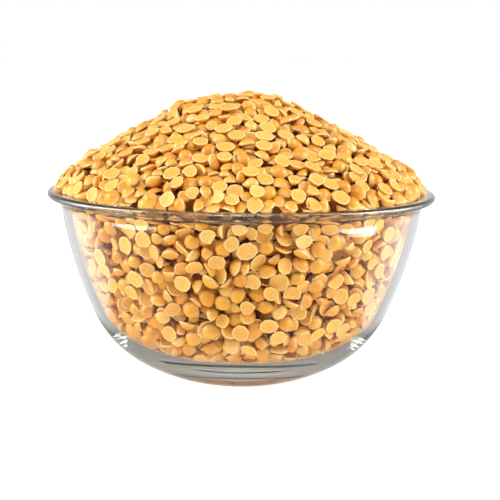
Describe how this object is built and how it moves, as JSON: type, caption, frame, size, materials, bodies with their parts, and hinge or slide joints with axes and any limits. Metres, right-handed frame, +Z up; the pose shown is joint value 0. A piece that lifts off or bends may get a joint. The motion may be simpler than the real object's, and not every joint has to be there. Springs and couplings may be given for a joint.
{
  "type": "glass bowl of split yellow lentils",
  "caption": "Clear pressed-glass bowl with a flat lip and a thick base, heaped above its rim with dry split yellow lentils.",
  "frame": {"origin": "middle of the bowl's underside, on the surface it stands on", "axes": "+Z up along the bowl's axis, -Y towards the viewer of the picture, +X to the picture's right"},
  "size_m": [0.14, 0.1398, 0.1042],
  "materials": {
    "clear_glass": "clear, smooth, faintly grey-green where it is thick",
    "split_lentils": "matte to faintly waxy, pale yellow to orange"
  },
  "bodies": {
    "root": {"bowl": "clear_glass", "lentils": "split_lentils"}
  },
  "joints": []
}
